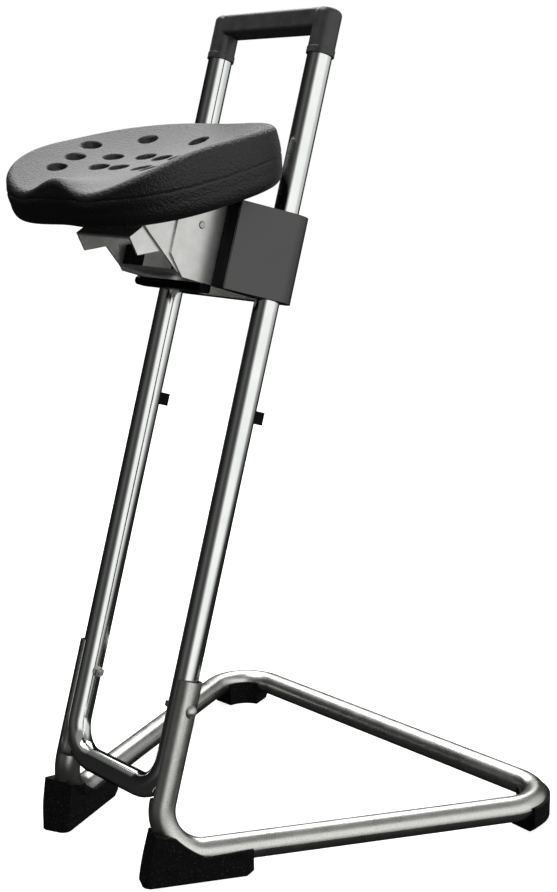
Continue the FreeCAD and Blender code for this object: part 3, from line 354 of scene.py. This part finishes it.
def make_cushion():
    """The foam seat as one closed mesh: walls, rounded rim, dished top with vents, flat underside."""
    steps = GRID_STEPS
    count = 4 * steps
    line = np.linspace(-1, 1, steps + 1)
    border = [(i, 0) for i in range(steps)] + [(steps, j) for j in range(steps)]
    border += [(i, steps) for i in range(steps, 0, -1)] + [(0, j) for j in range(steps, 0, -1)]
    grid_a, grid_b = np.meshgrid(line, line, indexing="ij")
    radius = np.maximum(np.abs(grid_a), np.abs(grid_b))
    wide = np.abs(grid_a) >= np.abs(grid_b)
    with np.errstate(divide="ignore", invalid="ignore"):
        flat = np.where(wide, grid_b / grid_a, 2 - grid_a / grid_b) * math.pi / 4
    turn = np.nan_to_num(np.where(wide, np.where(grid_a < 0, flat + math.pi, flat),
                                  np.where(grid_b < 0, flat + math.pi, flat)))
    edge_x, edge_y = rim_plan(turn, RIM_ROUND)
    top_x = radius * edge_x
    top_y = radius * edge_y
    top_z = dish_height(top_x, top_y) - vent_depth(top_x, top_y)
    points = [np.stack([top_x, top_y, top_z], axis=2).reshape(-1, 3)]
    index = np.arange((steps + 1) ** 2).reshape(steps + 1, steps + 1)
    faces = [
        (index[i, j], index[i + 1, j], index[i + 1, j + 1], index[i, j + 1])
        for i in range(steps) for j in range(steps)
    ]
    rim_turn = np.array([turn[i, j] for i, j in border])
    ring_before = [index[i, j] for i, j in border]
    rim_x, rim_y = rim_plan(rim_turn, RIM_ROUND)
    rim_z = dish_height(rim_x, rim_y)

    def add_ring(x, y, z):
        """Join one more ring of points below the last one."""
        nonlocal ring_before
        start = sum(len(block) for block in points)
        points.append(np.stack([x, y, z], axis=1))
        ring = list(range(start, start + count))
        for k in range(count):
            n = (k + 1) % count
            faces.append((ring_before[n], ring_before[k], ring[k], ring[n]))
        ring_before = ring

    for step in range(1, ROUND_STEPS + 1):
        angle = step / ROUND_STEPS * math.pi / 2
        inset = RIM_ROUND * (1 - math.sin(angle))
        x, y = rim_plan(rim_turn, inset)
        add_ring(x, y, rim_z - RIM_ROUND * (1 - math.cos(angle)))
    wall_top = rim_z - RIM_ROUND
    for step in range(1, WALL_STEPS + 1):
        share = step / WALL_STEPS
        z = wall_top + (WALL_TURN - wall_top) * share
        swell = WALL_SWELL * math.sin(math.pi * share)
        groove = SEAM_DEEP * np.exp(-((z - SEAM_HEIGHT) / SEAM_HALF) ** 2)
        x, y = rim_plan(rim_turn, groove - swell)
        add_ring(x, y, z)
    for step in range(1, LOW_STEPS + 1):
        angle = step / LOW_STEPS * math.pi / 2
        x, y = rim_plan(rim_turn, DRAW_IN * (1 - math.cos(angle)))
        add_ring(x, y, WALL_TURN * (1 - math.sin(angle)) + np.zeros(count))
    faces.append(tuple(reversed(ring_before)))
    local = np.concatenate(points)
    place = Matrix.Translation(SEAT_MIDDLE) @ Matrix.Rotation(SEAT_SLOPE, 4, "X")
    turned = local @ np.array(place.to_3x3()).T + np.array(SEAT_MIDDLE)
    mesh = bpy.data.meshes.new("foam_seat")
    mesh.from_pydata(turned.tolist(), [], faces)
    mesh.validate()
    mesh.update()
    bm = bmesh.new()
    bm.from_mesh(mesh)
    bmesh.ops.recalc_face_normals(bm, faces=bm.faces)
    bm.to_mesh(mesh)
    bm.free()
    mesh.shade_smooth()
    mesh.materials.append(FINISHES["seat_foam"])
    seat = bpy.data.objects.new("foam_seat", mesh)
    collection.objects.link(seat)
    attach(seat, "seat")
    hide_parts("seat_cushion")


make_cushion()


# Stage: pale floor, white surround for the eye, and a room with one bright side for the plating to mirror
FLOOR_HALF = 12.0
FLOOR_GLOW = 0.80

# Brightness of the room round the compass; the camera looks from heading -42 degrees
ROOM_SIDES = [
    (-176, 0.010), (-135, 0.020), (-112, 0.06), (-98, 0.11), (-74, 0.06), (-60, 0.07), (-48, 0.30),
    (-34, 1.1), (28, 1.1), (46, 0.75), (74, 0.70), (92, 0.06), (120, 0.01),
]

# Below and above the sides: the steepness where the change starts and ends, and the colour beyond it
ROOM_ENDS = [
    (-0.14, -0.31, (0.022, 0.022, 0.022, 1)),
    (0.55, 0.72, (0.28, 0.285, 0.28, 1)),
]


def make_stage():
    """A floor that lights and mirrors nothing but takes the shadow."""
    mesh = bpy.data.meshes.new("floor")
    corners = [(x * FLOOR_HALF, y * FLOOR_HALF, 0) for x, y in ((-1, -1), (1, -1), (1, 1), (-1, 1))]
    mesh.from_pydata(corners, [], [(0, 1, 2, 3)])
    floor = bpy.data.objects.new("floor", mesh)
    made = Finish("floor_paper", Roughness=0.9, Specular_IOR_Level=0.0)
    made.link(made.ramp(made.noise(3.0), (0.3, 0.90), (0.8, 0.92)), "Base Color")
    made.shader.inputs["Emission Color"].default_value = (1.0, 1.0, 1.0, 1.0)
    made.shader.inputs["Emission Strength"].default_value = FLOOR_GLOW
    mesh.materials.append(made.material)
    floor.visible_glossy = False
    floor.visible_diffuse = False
    collection.objects.link(floor)


def make_surround():
    """White where the eye sees it; a dark room with one bright side for light and reflections."""
    world = bpy.data.worlds.new("surround")
    scene.world = world
    world.use_nodes = True
    tree = world.node_tree
    backdrop = tree.nodes["Background"]
    backdrop.inputs["Strength"].default_value = 1.0
    place = tree.nodes.new("ShaderNodeTexCoord").outputs["Generated"]
    split = tree.nodes.new("ShaderNodeSeparateXYZ")
    tree.links.new(place, split.inputs[0])
    heading = tree.nodes.new("ShaderNodeMath")
    heading.operation = "ARCTAN2"
    tree.links.new(split.outputs["Y"], heading.inputs[0])
    tree.links.new(split.outputs["X"], heading.inputs[1])
    share = tree.nodes.new("ShaderNodeMapRange")
    share.inputs["From Min"].default_value = -math.pi
    share.inputs["From Max"].default_value = math.pi
    tree.links.new(heading.outputs[0], share.inputs["Value"])
    side = tree.nodes.new("ShaderNodeValToRGB")
    tree.links.new(share.outputs[0], side.inputs["Fac"])
    stops = side.color_ramp.elements
    for degrees, shade in ROOM_SIDES:
        stop = stops.new((degrees + 180) / 360)
        stop.color = (shade, shade * 1.01, shade * 1.0, 1)
    stops.remove(stops[0])
    stops.remove(stops[-1])
    room = side.outputs["Color"]
    for start, end, shade in ROOM_ENDS:
        reach = tree.nodes.new("ShaderNodeMapRange")
        reach.inputs["From Min"].default_value = start
        reach.inputs["From Max"].default_value = end
        tree.links.new(split.outputs["Z"], reach.inputs["Value"])
        zone = tree.nodes.new("ShaderNodeMix")
        zone.data_type = "RGBA"
        tree.links.new(reach.outputs[0], zone.inputs[0])
        tree.links.new(room, zone.inputs[6])
        zone.inputs[7].default_value = shade
        room = zone.outputs[2]
    eye = tree.nodes.new("ShaderNodeLightPath")
    seen = tree.nodes.new("ShaderNodeMix")
    seen.data_type = "RGBA"
    tree.links.new(eye.outputs["Is Camera Ray"], seen.inputs[0])
    tree.links.new(room, seen.inputs[6])
    seen.inputs[7].default_value = (1.0, 1.0, 1.0, 1)
    tree.links.new(seen.outputs[2], backdrop.inputs["Color"])


def soft_box(name, place, aim, width, height, power):
    """A rectangular studio light."""
    data = bpy.data.lights.new(name, "AREA")
    data.shape = "RECTANGLE"
    data.size = width
    data.size_y = height
    data.energy = power
    light = bpy.data.objects.new(name, data)
    light.location = place
    light.rotation_euler = (Vector(aim) - Vector(place)).to_track_quat("-Z", "Y").to_euler()
    collection.objects.link(light)


make_stage()
make_surround()
soft_box("front_top_box", (-0.61, -0.55, 2.74), (0, 0, 0.7), 1.2, 1.2, 26)
soft_box("back_left_box", (-1.48, 1.24, 2.49), (0, -0.1, 0.75), 2.9, 2.4, 72)

view = scene.view_settings
view.view_transform = "Standard"
